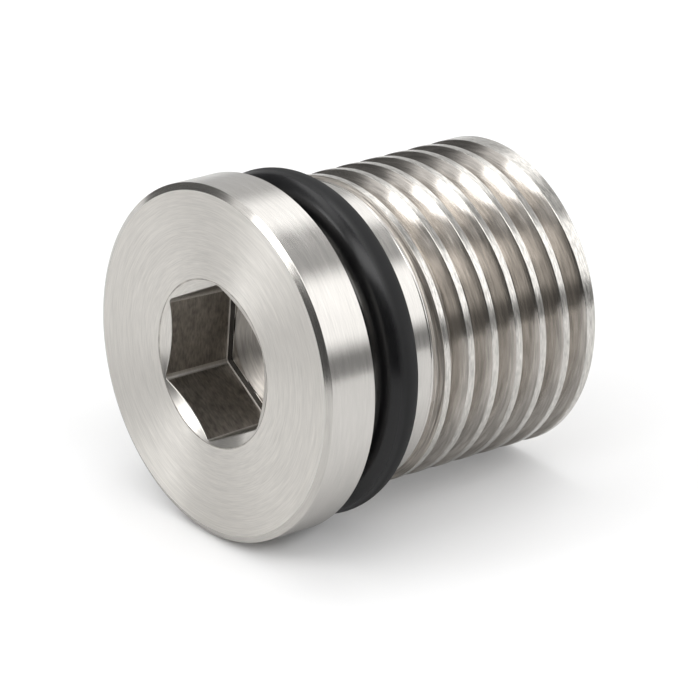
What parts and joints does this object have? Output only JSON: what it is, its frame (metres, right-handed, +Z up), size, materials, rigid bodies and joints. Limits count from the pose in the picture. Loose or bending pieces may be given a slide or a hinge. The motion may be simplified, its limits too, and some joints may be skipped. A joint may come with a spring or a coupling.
{
  "type": "hex socket plug",
  "caption": "Short flanged screw plug with a countersunk hex socket in its head, a rubber sealing ring round its neck and a right-hand external thread.",
  "frame": {"origin": "centre of the end face of the thread, on which the plug stands", "axes": "+Z up the plug's axis towards its flange head; +X square to one pair of the socket's flats"},
  "size_m": [0.0164, 0.0164, 0.0166],
  "materials": {
    "turned_steel": "bright turned stainless steel with fine lathe lines",
    "seal_rubber": "satin black rubber"
  },
  "bodies": {
    "root": {"plug_body": "turned_steel", "o_ring": "seal_rubber"}
  },
  "joints": []
}
